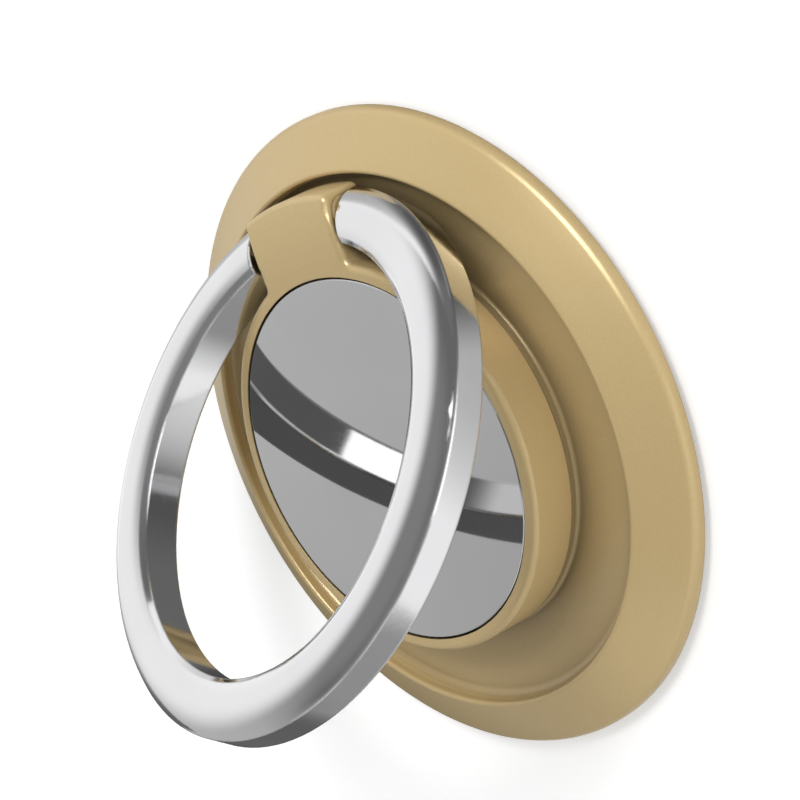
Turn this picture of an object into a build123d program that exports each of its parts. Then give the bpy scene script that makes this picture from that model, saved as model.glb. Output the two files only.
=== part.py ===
from build123d import *
import os
from math import cos, hypot, radians, sin, sqrt

# Phone ring holder: a stick-on dished base, a hub that swivels in it and a finger ring that folds.
# Millimetres. Z = 0 is the sticky back, +Z points away from the phone, +Y points to the hinge.
# The finger ring is drawn partly open, at the angle at which it props up a phone.

# Finger ring, heights measured from its flat back
ring_inner_radius = 12.85
ring_width = 3.5
ring_inner_flank = 2.25
ring_inner_bevel = 0.3
ring_outer_flank = 1.8
ring_outer_bevel = 0.12
ring_crown_height = 2.88
ring_back_bevel = 0.12
ring_end_round = 0.12
rest_opening = 36.4

# Hinge
hinge_set_out = 1.35
hinge_over_ring_back = 1.86
pin_radius = 0.5
pin_clearance = 0.05
pin_grip = 1.5
hinge_gap = 0.35
swing_clearance = 0.25
friction_washer_thickness = 0.25
friction_washer_width = 0.5

# Hub with its knuckle
hub_to_ring_gap = 0.75
hub_rise = 3.03
foot_gap = 0.12
skirt_wall = 1.1
hub_rim_width = 0.8
hub_edge_round = 0.4
knuckle_half_width = 3.95
knuckle_set_back = 0.25
knuckle_cove = 0.5
knuckle_corner_round = 0.5
spindle_radius = 3.0
spindle_clearance = 0.08
tenon_step = 0.8
rivet_head_overhang = 0.4
rivet_head_height = 0.25

# Base plate
ring_to_lip_gap = 0.25
flange_width = 3.4
rim_height = 0.8
rim_round = 0.7
rim_chamfer = 0.12
lip_rise = 2.0
lip_round = 0.2
groove_depth = 1.05
groove_cove = 0.6
groove_draft = 0.05
ring_to_floor_gap = 0.3
plinth_rise = 0.6
plinth_inset = 0.15
plinth_round = 0.1
plinth_cove = 0.25
web_thickness = 0.8
pocket_radius = 7.4
boss_rise = 1.05
boss_round = 0.2

# Adhesive pad
pad_thickness = 0.5
pad_inset = 0.8

# Magnet plate and its tape
plate_gap = 0.1
plate_thickness = 0.6
plate_bevel = 0.06
plate_sink = 0.03
tape_thickness = 0.12
tape_inset = 0.5

# Bearing stack that holds the hub down
slide_washer_thickness = 0.3
washer_bore_gap = 0.4
washer_edge_gap = 0.6
retaining_plate_thickness = 0.5
retaining_edge_gap = 1.0
spring_height = 1.05
spring_thickness = 0.3
spring_clearance = 0.05
spring_edge_gap = 0.6

# Heights over the sticky back
back_z = pad_thickness
front_edge_z = back_z + rim_height
lip_z = front_edge_z + lip_rise
floor_z = lip_z - groove_depth
plinth_z = floor_z + plinth_rise
boss_z = floor_z + boss_rise
ceiling_z = boss_z - web_thickness
bearing_z = boss_z + slide_washer_thickness
foot_z = plinth_z + foot_gap
hub_top_z = foot_z + hub_rise
plate_z = hub_top_z - plate_sink - plate_thickness
tape_z = plate_z - tape_thickness
spring_z = ceiling_z - spring_clearance - spring_height
retaining_z = spring_z - retaining_plate_thickness
folded_ring_z = floor_z + ring_to_floor_gap
hinge_z = folded_ring_z + hinge_over_ring_back
nose_z = folded_ring_z + ring_crown_height

# Radii that follow from the finger hole and the fits
ring_outer_radius = ring_inner_radius + ring_width
hinge_reach = ring_inner_radius + hinge_set_out
lip_radius = ring_outer_radius + ring_to_lip_gap
base_radius = lip_radius + flange_width
hub_radius = ring_inner_radius - hub_to_ring_gap
nose_radius = ring_outer_radius - knuckle_set_back
plinth_radius = hub_radius - plinth_inset
plate_seat_radius = hub_radius - hub_rim_width
plate_radius = plate_seat_radius - plate_gap
skirt_inner_radius = hub_radius - skirt_wall
tenon_radius = spindle_radius - tenon_step
rivet_head_radius = tenon_radius + rivet_head_overhang
spindle_bore_radius = spindle_radius + spindle_clearance
boss_radius = pocket_radius + web_thickness
inner_washer_bore = spindle_radius + washer_bore_gap
slide_washer_radius = boss_radius - washer_edge_gap
retaining_plate_radius = pocket_radius - retaining_edge_gap
spring_radius = retaining_plate_radius - spring_edge_gap
friction_washer_bore = pin_radius + pin_clearance
friction_washer_radius = friction_washer_bore + friction_washer_width

# Frame of the finger ring: its flat back, swung about the hinge by the opening angle
opening = radians(rest_opening)
ring_frame = Plane(
    origin=(
        0,
        hinge_reach * (1 - cos(opening)) - hinge_over_ring_back * sin(opening),
        folded_ring_z + hinge_over_ring_back * (1 - cos(opening)) + hinge_reach * sin(opening),
    ),
    x_dir=(1, 0, 0),
    z_dir=(0, sin(opening), cos(opening)),
)
ring_axis = Axis(ring_frame.origin, ring_frame.z_dir)
hinge_centre = (0, hinge_reach, hinge_z)
hinge_frame = Plane(origin=hinge_centre, x_dir=(0, 1, 0), z_dir=(1, 0, 0))
ring_side_frame = Plane(origin=hinge_centre, x_dir=ring_frame.y_dir, z_dir=(1, 0, 0))


def corner(sketch, across, up):
    """The vertex of a sketch that lies nearest to a point of its plane."""
    return sketch.vertices().sort_by_distance((across, up))[0]


# Adhesive pad: a plain disc that closes the pocket in the back of the base
with BuildPart() as adhesive_pad:
    with BuildSketch():
        Circle(base_radius - pad_inset)
    extrude(amount=pad_thickness)

# Base plate: coned flange, rounded lip, groove for the folded ring,
# a low plinth under the hub's skirt and a boss round the spindle
with BuildPart() as base_plate:
    with BuildSketch(Plane.XZ) as base_section:
        with BuildLine():
            Polyline(
                (spindle_bore_radius, ceiling_z),
                (spindle_bore_radius, boss_z),
                (boss_radius, boss_z),
                (boss_radius, plinth_z),
                (plinth_radius, plinth_z),
                (plinth_radius, floor_z),
                (lip_radius - groove_draft, floor_z),
                (lip_radius, lip_z),
                (base_radius, front_edge_z),
                (base_radius, back_z),
                (pocket_radius, back_z),
                (pocket_radius, ceiling_z),
                close=True,
            )
        make_face()
        fillet(corner(base_section, lip_radius, lip_z), lip_round)
        fillet(corner(base_section, lip_radius - groove_draft, floor_z), groove_cove)
        fillet(corner(base_section, base_radius, front_edge_z), rim_round)
        fillet(corner(base_section, boss_radius, boss_z), boss_round)
        fillet(corner(base_section, boss_radius, plinth_z), boss_round)
        fillet(corner(base_section, plinth_radius, plinth_z), plinth_round)
        fillet(corner(base_section, plinth_radius, floor_z), plinth_cove)
        chamfer(corner(base_section, base_radius, back_z), rim_chamfer)
    revolve(axis=Axis.Z)

# Slide washer: the slippery ring that the hub turns on
with BuildPart() as slide_washer:
    with BuildSketch(Plane.XY.offset(boss_z)):
        Circle(slide_washer_radius)
        Circle(inner_washer_bore, mode=Mode.SUBTRACT)
    extrude(amount=slide_washer_thickness)

# Hub: turned cup with a spindle, one piece with the knuckle that carries the hinge pin
with BuildPart() as hub:
    with BuildSketch(Plane.XZ):
        with BuildLine():
            Polyline(
                (0, retaining_z),
                (rivet_head_radius, retaining_z),
                (tenon_radius, retaining_z + rivet_head_height),
                (tenon_radius, spring_z),
                (spindle_radius, spring_z),
                (spindle_radius, bearing_z),
                (skirt_inner_radius, bearing_z),
                (skirt_inner_radius, foot_z),
                (hub_radius, foot_z),
                (hub_radius, hub_top_z),
                (0, hub_top_z),
                close=True,
            )
        make_face()
    revolve(axis=Axis.Z)
    # Knuckle in side view: level with the hub's top, then crowned down to the folded ring's height
    with BuildSketch(Plane.YZ):
        with BuildLine():
            top = Line((skirt_inner_radius, hub_top_z), (hub_radius, hub_top_z))
            crown = TangentArc(top @ 1, (ring_outer_radius, nose_z), tangent=top % 1)
            Polyline(crown @ 1, (ring_outer_radius, foot_z), (skirt_inner_radius, foot_z), top @ 0)
        make_face()
    extrude(amount=knuckle_half_width, both=True)
    # Its nose follows a circle round the hub's axis, as the ring beside it does
    with BuildSketch(Plane.XY.offset(foot_z)):
        Circle(base_radius)
        Circle(nose_radius, mode=Mode.SUBTRACT)
    extrude(amount=hub_rise, mode=Mode.SUBTRACT)
    # Rounded corners at the nose, coves where the knuckle's sides run into the hub's wall
    upright_edges = hub.edges().filter_by(Axis.Z)
    fillet(upright_edges.filter_by_position(Axis.Y, hinge_reach, nose_radius), knuckle_corner_round)
    cove_edges = [
        edge
        for edge in hub.edges().filter_by(Axis.Z).filter_by_position(Axis.Y, 0, hinge_reach)
        if abs(abs(edge.center().X) - knuckle_half_width) < knuckle_cove
    ]
    fillet(cove_edges, knuckle_cove)
    # Seat for the magnet plate
    with BuildSketch(Plane.XY.offset(hub_top_z)):
        Circle(plate_seat_radius)
    extrude(amount=tape_z - hub_top_z, mode=Mode.SUBTRACT)
    # One soft rim runs round the hub's top, along both sides of the knuckle and across its nose
    rim_edges = [
        edge
        for edge in hub.edges().filter_by_position(Axis.Z, nose_z, hub_top_z)
        if hypot(edge.center().X, edge.center().Y) > plate_seat_radius + plate_gap
    ]
    fillet(rim_edges, hub_edge_round)
    with BuildSketch(hinge_frame):
        Circle(pin_radius)
    extrude(amount=knuckle_half_width, both=True, mode=Mode.SUBTRACT)

# Magnet plate, flush with the hub's top, on a thin disc of tape
with BuildPart() as plate_tape:
    with BuildSketch(Plane.XY.offset(tape_z)):
        Circle(plate_radius - tape_inset)
    extrude(amount=tape_thickness)

with BuildPart() as magnet_plate:
    with BuildSketch(Plane.XY.offset(plate_z)):
        Circle(plate_radius)
    extrude(amount=plate_thickness)
    chamfer(magnet_plate.faces().sort_by(Axis.Z)[-1].edges(), plate_bevel)

# Disc spring under the base's web: its coned ring keeps the swivel stiff
with BuildPart() as disc_spring:
    with BuildSketch(Plane.XZ):
        with BuildLine():
            Polyline(
                (inner_washer_bore, spring_z),
                (inner_washer_bore, spring_z + spring_thickness),
                (spring_radius, spring_z + spring_height),
                (spring_radius, spring_z + spring_height - spring_thickness),
                close=True,
            )
        make_face()
    revolve(axis=Axis.Z)

# Retaining plate: a steel disc with a countersunk hole, under the peened end of the spindle
with BuildPart() as retaining_plate:
    with BuildSketch(Plane.XZ):
        with BuildLine():
            Polyline(
                (rivet_head_radius, retaining_z),
                (tenon_radius, retaining_z + rivet_head_height),
                (tenon_radius, spring_z),
                (retaining_plate_radius, spring_z),
                (retaining_plate_radius, retaining_z),
                close=True,
            )
        make_face()
    revolve(axis=Axis.Z)

# Hinge pin: pressed into the knuckle, its two ends stand out into the ring
ring_end = knuckle_half_width + hinge_gap
with BuildPart() as hinge_pin:
    with BuildSketch(hinge_frame):
        Circle(pin_radius)
    extrude(amount=ring_end + pin_grip, both=True)

# Two thin friction washers fill the gaps between the knuckle and the ring's ends
with BuildPart() as friction_washer_right:
    with BuildSketch(hinge_frame.offset(knuckle_half_width)):
        Circle(friction_washer_radius)
        Circle(friction_washer_bore, mode=Mode.SUBTRACT)
    extrude(amount=friction_washer_thickness)

with BuildPart() as friction_washer_left:
    with BuildSketch(hinge_frame.offset(-knuckle_half_width)):
        Circle(friction_washer_radius)
        Circle(friction_washer_bore, mode=Mode.SUBTRACT)
    extrude(amount=-friction_washer_thickness)

# Finger ring: flat back, flat flanks and a crowned front, open where the knuckle stands
heel_radius = hinge_z - floor_z - swing_clearance
crown_inner = ring_inner_radius + ring_inner_bevel
crown_outer = ring_outer_radius - ring_outer_bevel
with BuildPart() as finger_ring:
    with BuildSketch(Plane(ring_frame.origin, x_dir=(1, 0, 0), z_dir=-ring_frame.y_dir)) as ring_section:
        with BuildLine():
            back = Polyline(
                (crown_outer, ring_outer_flank + ring_outer_bevel),
                (ring_outer_radius, ring_outer_flank),
                (ring_outer_radius, 0),
                (ring_inner_radius, 0),
                (ring_inner_radius, ring_inner_flank),
                (crown_inner, ring_inner_flank + ring_inner_bevel),
            )
            ThreePointArc(back @ 1, ((crown_inner + crown_outer) / 2, ring_crown_height), back @ 0)
        make_face()
        chamfer(corner(ring_section, ring_inner_radius, 0), ring_back_bevel)
        chamfer(corner(ring_section, ring_outer_radius, 0), ring_back_bevel)
    revolve(axis=ring_axis)
    # The gap for the knuckle
    with BuildSketch(ring_frame):
        with Locations((0, hinge_reach)):
            Rectangle(2 * ring_end, ring_outer_radius)
    extrude(amount=ring_outer_radius, mode=Mode.SUBTRACT)
    end_faces = [
        face for face in finger_ring.faces().filter_by(Axis.X) if abs(face.center().X) < ring_end + hinge_gap
    ]
    fillet([edge for face in end_faces for edge in face.edges()], ring_end_round)
    # The heels are rounded about the pin, so that they swing clear of the groove's floor
    heel_span = sqrt(ring_outer_radius**2 - hinge_reach**2)
    with BuildSketch(ring_side_frame):
        Rectangle(ring_outer_radius, ring_outer_radius, align=(Align.MIN, Align.MAX))
        Circle(heel_radius, mode=Mode.SUBTRACT)
    extrude(amount=heel_span, both=True, mode=Mode.SUBTRACT)
    # The toes are eased along the hub's wall, which they pass as the ring opens
    with BuildSketch(ring_frame.offset(hinge_over_ring_back)):
        Circle(hub_radius + swing_clearance)
    revolve(axis=Axis(hinge_centre, (1, 0, 0)), revolution_arc=90, mode=Mode.SUBTRACT)
    # Blind bores for the two ends of the pin
    with BuildSketch(hinge_frame):
        Circle(pin_radius + pin_clearance)
    extrude(amount=ring_end + pin_grip + hinge_gap, both=True, mode=Mode.SUBTRACT)

sub_parts = {
    "adhesive_pad": adhesive_pad,
    "base_plate": base_plate,
    "slide_washer": slide_washer,
    "hub": hub,
    "plate_tape": plate_tape,
    "magnet_plate": magnet_plate,
    "disc_spring": disc_spring,
    "retaining_plate": retaining_plate,
    "hinge_pin": hinge_pin,
    "friction_washer_left": friction_washer_left,
    "friction_washer_right": friction_washer_right,
    "finger_ring": finger_ring,
}
os.makedirs("parts", exist_ok=True)
for name, sub_part in sub_parts.items():
    sub_part.part.label = name
    export_step(sub_part.part, f"parts/{name}.step")
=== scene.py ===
import bmesh
import bpy
from math import cos, radians, sin, tau
from mathutils import Matrix, Vector


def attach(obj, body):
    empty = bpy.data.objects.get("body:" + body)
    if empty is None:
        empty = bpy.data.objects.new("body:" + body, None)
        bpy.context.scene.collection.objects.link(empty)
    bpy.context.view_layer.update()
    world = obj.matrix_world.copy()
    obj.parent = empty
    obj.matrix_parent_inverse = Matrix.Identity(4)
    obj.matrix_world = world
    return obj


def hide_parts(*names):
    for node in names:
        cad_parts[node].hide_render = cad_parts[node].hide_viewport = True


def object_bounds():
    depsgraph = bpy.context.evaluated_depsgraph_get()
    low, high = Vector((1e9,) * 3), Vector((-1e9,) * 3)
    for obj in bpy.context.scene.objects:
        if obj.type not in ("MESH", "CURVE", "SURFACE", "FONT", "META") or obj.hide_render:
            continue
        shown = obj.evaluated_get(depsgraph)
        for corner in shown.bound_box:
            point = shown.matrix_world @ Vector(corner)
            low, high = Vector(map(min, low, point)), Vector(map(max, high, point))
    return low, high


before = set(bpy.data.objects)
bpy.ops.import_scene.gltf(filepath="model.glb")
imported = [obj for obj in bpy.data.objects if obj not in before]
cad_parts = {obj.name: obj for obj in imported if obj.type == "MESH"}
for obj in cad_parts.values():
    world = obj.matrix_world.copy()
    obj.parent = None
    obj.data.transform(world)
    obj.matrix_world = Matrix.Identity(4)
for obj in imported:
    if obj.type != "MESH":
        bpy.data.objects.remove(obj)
cad_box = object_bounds()

# Phone ring holder, lying on its sticky back with the finger ring half open.
# Metres. The floor is at the sticky back, z = 0.

# Camera, as the photograph was taken
view_azimuth = radians(6.488)
view_elevation = radians(38.473)
view_roll = radians(-116.94)
view_distance = 0.22304
view_aim = Vector((-0.00101, 0.00257, 0.0022))
lens_length = 170.24
sensor_width = 36.0

# Colours, linear
gold = (0.56, 0.42, 0.205, 1)
gold_shade = (0.53, 0.395, 0.19, 1)
# Painted shade for the groove inside the lip
groove_painted_shade = (0.16, 0.12, 0.058, 1)
# Painted shade for narrow gaps
crevice_painted_shade = (0.07, 0.055, 0.03, 1)
chrome = (0.72, 0.72, 0.73, 1)
chrome_haze = (0.69, 0.69, 0.7, 1)
steel = (0.61, 0.61, 0.61, 1)
steel_shade = (0.58, 0.58, 0.58, 1)
spring_blue = (0.3, 0.31, 0.33, 1)
spring_brown = (0.24, 0.22, 0.2, 1)
nylon_white = (0.78, 0.77, 0.72, 1)
nylon_ivory = (0.7, 0.68, 0.62, 1)
nylon_tan = (0.4, 0.29, 0.14, 1)
nylon_brown = (0.33, 0.24, 0.11, 1)
foam_black = (0.02, 0.02, 0.022, 1)
foam_grey = (0.05, 0.05, 0.052, 1)
paper_white = (0.9, 0.9, 0.9, 1)
light_white = (1, 1, 1, 1)

# Noise in the finishes: detail of the slow drift and of the grain, and the range that noise mostly fills
drift_detail = 3
grain_detail = 2
noise_low = 0.3
noise_high = 0.7
# Where the drift leaves the first colour and where it reaches the second
blend_low = 0.35
blend_high = 0.65
# Rays that round an edge or look into a gap
shading_samples = 4

# Radius of the edges after plating and after lacquering
plated_edge = 0.0002
lacquered_edge = 0.00008
# Painted shade: the lacquer's colour is darkened in narrow gaps inside the rim, and in the groove inside
# the lip.
# For each: how near the walls are, and how open a place is where the painted shade is darkest and where it
# stops.
crevice_reach = 0.0006
crevice_closed = 0.35
crevice_open = 0.82
groove_reach = 0.004
groove_closed = 0.35
groove_open = 0.92
rim_radius = cad_box[1][0]
lip_radius = 0.0165

# The holder's axis, and the plane through it in which the base is cut before it is turned again
origin = (0, 0, 0)
axis_up = (0, 0, 1)
across_axis = (1, 1, 0)
cut_normal = (0, 1, 0)
turning_steps = 360
merge_distance = 0.0000001
sharp_angle = radians(35)

# Studio
floor_span = 1.2
floor_roughness = 1
floor_glow = 0.32
lamp_distance = 0.6
room_tone = 0.175
# Patches of the room by direction: azimuth, elevation, cosines of the soft edge, tone
ceiling = (radians(95), radians(65), 0.5, 0.9, 0.27)
wall = (radians(190), radians(10), 0.45, 0.95, 0.56)
window = (radians(138), radians(12), 0.52, 0.97, 1.12)
side_wall = (radians(-88), radians(3), 0.74, 0.97, 0.36)
skyline = (radians(-36), radians(-2), 0.74, 0.985, 1.1)
# Two small bright patches side by side, which draw a line on the ring's lower edge
near_strip = (radians(-68), radians(31), 0.92, 0.985, 0.95)
far_strip = (radians(-105), radians(27), 0.92, 0.985, 0.95)
# The floor as polished metal sees it: white, with two soft dark sides and the object's own shade
card_height = 0.0004
card_tone = 1.15
card_dark_side = (radians(-145), 0, 0.7, 0.94, 0.14)
card_grey_side = (radians(52), 0, 0.8, 0.97, 0.2)
card_shade_start = 0.02
card_shade_end = 0.07
card_shade = 0.5


def noise_of(nodes, links, scale, detail):
    """A noise pattern fixed to the piece, with the given number of grains in a metre."""
    place = nodes.new("ShaderNodeTexCoord")
    noise = nodes.new("ShaderNodeTexNoise")
    noise.inputs["Scale"].default_value = scale
    noise.inputs["Detail"].default_value = detail
    links.new(place.outputs["Object"], noise.inputs["Vector"])
    return noise.outputs["Fac"]


def blend_colours(nodes, links, pattern, first, second):
    """The first colour where the pattern is low, the second where it is high."""
    ramp = nodes.new("ShaderNodeValToRGB")
    ramp.color_ramp.elements[0].position = blend_low
    ramp.color_ramp.elements[0].color = first
    ramp.color_ramp.elements[1].position = blend_high
    ramp.color_ramp.elements[1].color = second
    links.new(pattern, ramp.inputs["Fac"])
    return ramp.outputs["Color"]


def stretched(nodes, links, value, start, end, low=0, high=1, interpolation="LINEAR"):
    """The value's range from start to end stretched to low to high, and held level beyond it."""
    span = nodes.new("ShaderNodeMapRange")
    span.interpolation_type = interpolation
    span.inputs["From Min"].default_value = start
    span.inputs["From Max"].default_value = end
    span.inputs["To Min"].default_value = low
    span.inputs["To Max"].default_value = high
    links.new(value, span.inputs["Value"])
    return span.outputs["Result"]


def arithmetic(nodes, links, operation, first, second):
    """Two values put together by one operation."""
    step = nodes.new("ShaderNodeMath")
    step.operation = operation
    links.new(first, step.inputs[0])
    links.new(second, step.inputs[1])
    return step.outputs["Value"]


def relief(nodes, links, pattern, depth, strength, edge_round):
    """Tiny bumps of the given depth in metres, on edges rounded by the given radius."""
    rounded = nodes.new("ShaderNodeBevel")
    rounded.samples = shading_samples
    rounded.inputs["Radius"].default_value = edge_round
    bump = nodes.new("ShaderNodeBump")
    links.new(rounded.outputs["Normal"], bump.inputs["Normal"])
    bump.inputs["Strength"].default_value = strength
    bump.inputs["Distance"].default_value = depth
    links.new(pattern, bump.inputs["Height"])
    return bump.outputs["Normal"]


def surface(
    name, metallic, colours, colour_scale, grain_scale, roughness, grain_depth, grain_strength, edge_round
):
    """A material whose colour drifts slowly and whose gloss and relief follow a fine grain."""
    material = bpy.data.materials.new(name)
    material.use_nodes = True
    nodes = material.node_tree.nodes
    links = material.node_tree.links
    shader = nodes["Principled BSDF"]
    shader.inputs["Metallic"].default_value = metallic
    drift = noise_of(nodes, links, colour_scale, drift_detail)
    grain = noise_of(nodes, links, grain_scale, grain_detail)
    colour = blend_colours(nodes, links, drift, *colours)
    gloss = stretched(nodes, links, grain, noise_low, noise_high, *roughness)
    bumps = relief(nodes, links, grain, grain_depth, grain_strength, edge_round)
    links.new(colour, shader.inputs["Base Color"])
    links.new(gloss, shader.inputs["Roughness"])
    links.new(bumps, shader.inputs["Normal"])
    return material


def openness(nodes, links, reach, closed, open_enough):
    """0 where walls within reach shut the surface in, and 1 where it is open enough."""
    light_let_in = nodes.new("ShaderNodeAmbientOcclusion")
    light_let_in.samples = shading_samples
    light_let_in.inputs["Distance"].default_value = reach
    return stretched(nodes, links, light_let_in.outputs["AO"], closed, open_enough)


def beyond(nodes, links, radius):
    """1 further than the radius from the holder's axis, and 0 nearer."""
    place = nodes.new("ShaderNodeTexCoord")
    flat_place = nodes.new("ShaderNodeVectorMath")
    flat_place.operation = "MULTIPLY"
    flat_place.inputs[1].default_value = across_axis
    links.new(place.outputs["Object"], flat_place.inputs[0])
    off_axis = nodes.new("ShaderNodeVectorMath")
    off_axis.operation = "LENGTH"
    links.new(flat_place.outputs["Vector"], off_axis.inputs[0])
    outside = nodes.new("ShaderNodeMath")
    outside.operation = "GREATER_THAN"
    outside.inputs[1].default_value = radius
    links.new(off_axis.outputs["Value"], outside.inputs[0])
    return outside.outputs["Value"]


def paint_shade_in_hollows(material, dark, reach, closed, open_enough, radius):
    """Paint shade into a material's colour, dark where walls within reach shut it in, up to a radius from
    the axis.
    """
    nodes = material.node_tree.nodes
    links = material.node_tree.links
    colour = nodes["Principled BSDF"].inputs["Base Color"]
    unshaded_by_walls = openness(nodes, links, reach, closed, open_enough)
    unshaded = arithmetic(nodes, links, "MAXIMUM", unshaded_by_walls, beyond(nodes, links, radius))
    mix = nodes.new("ShaderNodeMixRGB")
    mix.inputs["Color1"].default_value = dark
    links.new(unshaded, mix.inputs["Fac"])
    links.new(colour.links[0].from_socket, mix.inputs["Color2"])
    links.new(mix.outputs["Color"], colour)


def dress(material, *names):
    """Give CAD nodes one material."""
    for name in names:
        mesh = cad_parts[name].data
        mesh.materials.clear()
        mesh.materials.append(material)


def turned_again(name, node, body):
    """The node's half section, spun about the axis in fine steps so that its thin edges shade cleanly."""
    shell = bmesh.new()
    shell.from_mesh(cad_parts[node].data)
    bmesh.ops.remove_doubles(shell, verts=shell.verts, dist=merge_distance)
    bmesh.ops.bisect_plane(
        shell,
        geom=shell.verts[:] + shell.edges[:] + shell.faces[:],
        dist=merge_distance,
        plane_co=origin,
        plane_no=cut_normal,
    )
    off_section = [vert for vert in shell.verts if abs(vert.co.y) > merge_distance or vert.co.x < 0]
    bmesh.ops.delete(shell, geom=off_section, context="VERTS")
    bmesh.ops.spin(
        shell,
        geom=shell.verts[:] + shell.edges[:],
        cent=origin,
        axis=axis_up,
        angle=tau,
        steps=turning_steps,
        use_merge=True,
    )
    bmesh.ops.recalc_face_normals(shell, faces=shell.faces)
    for face in shell.faces:
        face.smooth = True
    mesh = bpy.data.meshes.new(name)
    shell.to_mesh(mesh)
    shell.free()
    mesh.set_sharp_from_angle(angle=sharp_angle)
    piece = bpy.data.objects.new(name, mesh)
    bpy.context.scene.collection.objects.link(piece)
    shading = piece.modifiers.new("flat_faces_first", "WEIGHTED_NORMAL")
    shading.keep_sharp = True
    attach(piece, body)
    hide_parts(node)
    return piece


def gold_lacquer(name):
    """Champagne gold, a satin metallic lacquer, with shade painted into its colour in narrow gaps."""
    lacquer = surface(
        name,
        metallic=0.2,
        colours=(gold, gold_shade),
        colour_scale=9000,
        grain_scale=12000,
        roughness=(0.3, 0.35),
        grain_depth=0.000004,
        grain_strength=0.12,
        edge_round=lacquered_edge,
    )
    # Painted shade in narrow gaps inside the rim
    paint_shade_in_hollows(lacquer, crevice_painted_shade, crevice_reach, crevice_closed, crevice_open, rim_radius)
    return lacquer


# The turned hub
dress(gold_lacquer("gold_paint"), "hub")

# The cast base, with shade painted into its groove
base_lacquer = gold_lacquer("base_paint")
# Painted shade across the groove inside the lip
paint_shade_in_hollows(base_lacquer, groove_painted_shade, groove_reach, groove_closed, groove_open, lip_radius)
base_shell = turned_again("base_shell", "base_plate", "base")
base_shell.data.materials.append(base_lacquer)

# Bright chrome on the finger ring and the hinge pin
chrome_plating = surface(
    "chrome_plate",
    metallic=1,
    colours=(chrome, chrome_haze),
    colour_scale=120,
    grain_scale=4000,
    roughness=(0.07, 0.11),
    grain_depth=0.000001,
    grain_strength=0.03,
    edge_round=plated_edge,
)
dress(chrome_plating, "finger_ring", "hinge_pin")

# Polished steel on the magnet plate and the plate under the spindle's end
mirror_steel = surface(
    "polished_steel",
    metallic=1,
    colours=(steel, steel_shade),
    colour_scale=90,
    grain_scale=5000,
    roughness=(0.02, 0.04),
    grain_depth=0.000001,
    grain_strength=0.02,
    edge_round=lacquered_edge,
)
dress(mirror_steel, "magnet_plate", "retaining_plate")

# Blued spring steel
blued_steel = surface(
    "spring_steel",
    metallic=1,
    colours=(spring_blue, spring_brown),
    colour_scale=400,
    grain_scale=6000,
    roughness=(0.25, 0.4),
    grain_depth=0.000002,
    grain_strength=0.1,
    edge_round=lacquered_edge,
)
dress(blued_steel, "disc_spring")

# White nylon slide washer
white_nylon = surface(
    "white_nylon",
    metallic=0,
    colours=(nylon_white, nylon_ivory),
    colour_scale=300,
    grain_scale=5000,
    roughness=(0.35, 0.5),
    grain_depth=0.000003,
    grain_strength=0.1,
    edge_round=lacquered_edge,
)
dress(white_nylon, "slide_washer")

# Friction washers of tan nylon, near the colour of the hub
tan_nylon = surface(
    "tan_nylon",
    metallic=0,
    colours=(nylon_tan, nylon_brown),
    colour_scale=300,
    grain_scale=5000,
    roughness=(0.4, 0.55),
    grain_depth=0.000003,
    grain_strength=0.1,
    edge_round=lacquered_edge,
)
dress(tan_nylon, "friction_washer_left", "friction_washer_right")

# Black acrylic foam tape, with the open cells of its cut edge
foam_tape = surface(
    "foam_tape",
    metallic=0,
    colours=(foam_black, foam_grey),
    colour_scale=2500,
    grain_scale=6000,
    roughness=(0.7, 0.9),
    grain_depth=0.00004,
    grain_strength=0.5,
    edge_round=lacquered_edge,
)
dress(foam_tape, "adhesive_pad", "plate_tape")


def white_floor():
    """A large sheet, white to the camera and in metal and glass, that keeps the object's soft shadow."""
    bpy.ops.mesh.primitive_plane_add(size=floor_span)
    floor = bpy.context.object
    floor.name = "floor"
    material = bpy.data.materials.new("paper_floor")
    material.use_nodes = True
    nodes = material.node_tree.nodes
    links = material.node_tree.links
    shader = nodes["Principled BSDF"]
    shader.inputs["Base Color"].default_value = paper_white
    shader.inputs["Roughness"].default_value = floor_roughness
    rays = nodes.new("ShaderNodeLightPath")
    seen = rays.outputs["Is Camera Ray"]
    for mirrored in ("Is Glossy Ray", "Is Transmission Ray"):
        seen = arithmetic(nodes, links, "MAXIMUM", seen, rays.outputs[mirrored])
    glow = nodes.new("ShaderNodeMath")
    glow.operation = "MULTIPLY"
    glow.inputs[1].default_value = floor_glow
    links.new(seen, glow.inputs[0])
    shader.inputs["Emission Color"].default_value = paper_white
    links.new(glow.outputs["Value"], shader.inputs["Emission Strength"])
    floor.data.materials.append(material)


def heading(azimuth, elevation):
    """Unit vector for an azimuth from +X towards +Y and an elevation over the floor."""
    return Vector(
        (cos(elevation) * cos(azimuth), cos(elevation) * sin(azimuth), sin(elevation))
    )


def soft_box(name, azimuth, elevation, width, height, power):
    """An area lamp that faces the object."""
    lamp = bpy.data.lights.new(name, "AREA")
    lamp.shape = "RECTANGLE"
    lamp.size = width
    lamp.size_y = height
    lamp.energy = power
    box = bpy.data.objects.new(name, lamp)
    bpy.context.scene.collection.objects.link(box)
    box.location = view_aim + heading(azimuth, elevation) * lamp_distance
    box.rotation_euler = heading(azimuth, elevation).to_track_quat("Z", "Y").to_euler()
    return box


def keep_off(lamp, *nodes):
    """Leave these nodes out of a lamp's light, so that bright metal doesn't mirror the lamp."""
    skipped = bpy.data.collections.new(lamp.name + "_skips")
    for node in nodes:
        skipped.objects.link(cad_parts[node])
    lamp.light_linking.receiver_collection = skipped
    for member in skipped.collection_objects:
        member.light_linking.link_state = "EXCLUDE"


def light_only(lamp, node):
    """Keep a lamp's light for one node."""
    lit = bpy.data.collections.new(lamp.name + "_lights")
    lit.objects.link(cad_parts[node])
    lamp.light_linking.receiver_collection = lit


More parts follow.
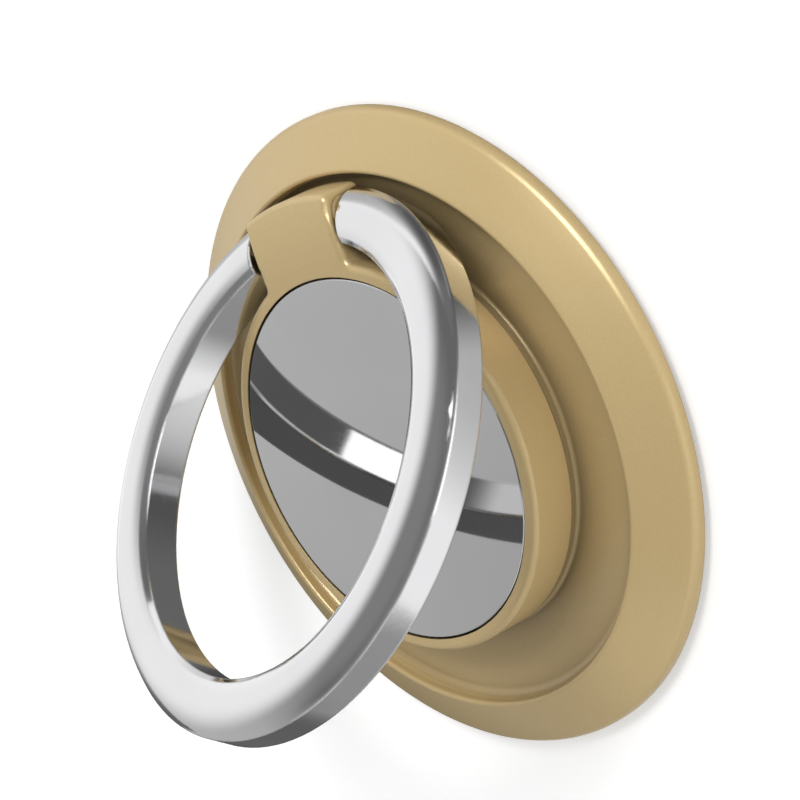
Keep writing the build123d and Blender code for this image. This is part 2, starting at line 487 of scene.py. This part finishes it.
def nearness(nodes, links, direction, centre, edge, core):
    """0 outside the edge of a patch of the studio and 1 inside its core, by direction."""
    cosine = nodes.new("ShaderNodeVectorMath")
    cosine.operation = "DOT_PRODUCT"
    cosine.inputs[1].default_value = centre
    links.new(direction, cosine.inputs[0])
    return stretched(nodes, links, cosine.outputs["Value"], edge, core, interpolation="SMOOTHSTEP")


def with_patch(nodes, links, direction, below, patch):
    """The tone below, changed to the patch's own tone in the directions that the patch covers."""
    azimuth, elevation, edge, core, tone = patch
    share = nearness(nodes, links, direction, heading(azimuth, elevation), edge, core)
    mix = nodes.new("ShaderNodeMix")
    mix.inputs["B"].default_value = tone
    links.new(share, mix.inputs["Factor"])
    links.new(below, mix.inputs["A"])
    return mix.outputs["Result"]


def even_tone(nodes, tone):
    """One tone in every direction, to lay patches on."""
    value = nodes.new("ShaderNodeValue")
    value.outputs["Value"].default_value = tone
    return value.outputs["Value"]


def studio_world():
    """Soft surroundings: a dim room with a bright window, grey walls and two small bright strips."""
    world = bpy.data.worlds.new("studio")
    bpy.context.scene.world = world
    world.use_nodes = True
    nodes = world.node_tree.nodes
    links = world.node_tree.links
    direction = nodes.new("ShaderNodeTexCoord").outputs["Generated"]
    tone = even_tone(nodes, room_tone)
    for patch in (ceiling, wall, window, side_wall, near_strip, far_strip, skyline):
        tone = with_patch(nodes, links, direction, tone, patch)
    nodes["Background"].inputs["Color"].default_value = light_white
    links.new(tone, nodes["Background"].inputs["Strength"])


def reflection_card():
    """A sheet close over the floor that only shows in reflections, white with soft dark sides."""
    bpy.ops.mesh.primitive_plane_add(size=floor_span)
    card = bpy.context.object
    card.name = "reflection_card"
    card.location.z = card_height
    material = bpy.data.materials.new("card")
    material.use_nodes = True
    nodes = material.node_tree.nodes
    links = material.node_tree.links
    place = nodes.new("ShaderNodeTexCoord").outputs["Object"]
    way = nodes.new("ShaderNodeVectorMath")
    way.operation = "NORMALIZE"
    links.new(place, way.inputs[0])
    tone = even_tone(nodes, card_tone)
    for patch in (card_grey_side, card_dark_side):
        tone = with_patch(nodes, links, way.outputs["Vector"], tone, patch)
    reach = nodes.new("ShaderNodeVectorMath")
    reach.operation = "LENGTH"
    links.new(place, reach.inputs[0])
    shade = stretched(
        nodes,
        links,
        reach.outputs["Value"],
        card_shade_start,
        card_shade_end,
        low=card_shade,
        interpolation="SMOOTHSTEP",
    )
    light = nodes.new("ShaderNodeEmission")
    links.new(arithmetic(nodes, links, "MULTIPLY", tone, shade), light.inputs["Strength"])
    links.new(light.outputs["Emission"], nodes["Material Output"].inputs["Surface"])
    nodes.remove(nodes["Principled BSDF"])
    card.data.materials.append(material)
    card.visible_camera = False
    card.visible_diffuse = False
    card.visible_shadow = False


def photo_camera():
    """The camera at the photograph's place, turned about its own line of sight."""
    back = heading(view_azimuth, view_elevation)
    side = Vector(axis_up).cross(back).normalized()
    level_up = back.cross(side)
    up = level_up * cos(view_roll) - side * sin(view_roll)
    right = up.cross(back)
    camera_data = bpy.data.cameras.new("camera")
    camera_data.lens = lens_length
    camera_data.sensor_width = sensor_width
    camera = bpy.data.objects.new("camera", camera_data)
    bpy.context.scene.collection.objects.link(camera)
    place = Matrix((right, up, back)).transposed().to_4x4()
    place.translation = view_aim + back * view_distance
    camera.matrix_world = place
    bpy.context.scene.camera = camera


white_floor()
reflection_card()
studio_world()

# A key lamp, whose highlight runs along the gold edges
key_lamp = soft_box("key_lamp", radians(50), radians(46), width=0.18, height=0.18, power=1.5)
keep_off(key_lamp, "finger_ring", "hinge_pin", "magnet_plate")

# A wider lamp a little lower, which only adds sheen along the gold edges
sheen_lamp = soft_box("sheen_lamp", radians(47), radians(37), width=0.4, height=0.24, power=2.4)
sheen_lamp.visible_diffuse = False
keep_off(sheen_lamp, "finger_ring", "hinge_pin", "magnet_plate")

# Two broad soft lamps that fill the shadows and leave no highlight
near_fill = soft_box("near_fill", radians(-10), radians(22), width=0.4, height=0.4, power=1.4)
far_fill = soft_box("far_fill", radians(88), radians(12), width=0.4, height=0.4, power=0.9)
for fill_lamp in (near_fill, far_fill):
    fill_lamp.visible_glossy = False

# A lamp for the ring alone, which draws a bright line on its bevels
bevel_lamp = soft_box("bevel_lamp", radians(12), radians(9), width=0.6, height=0.36, power=1.6)
light_only(bevel_lamp, "finger_ring")

photo_camera()
bpy.context.scene.view_settings.view_transform = "Standard"
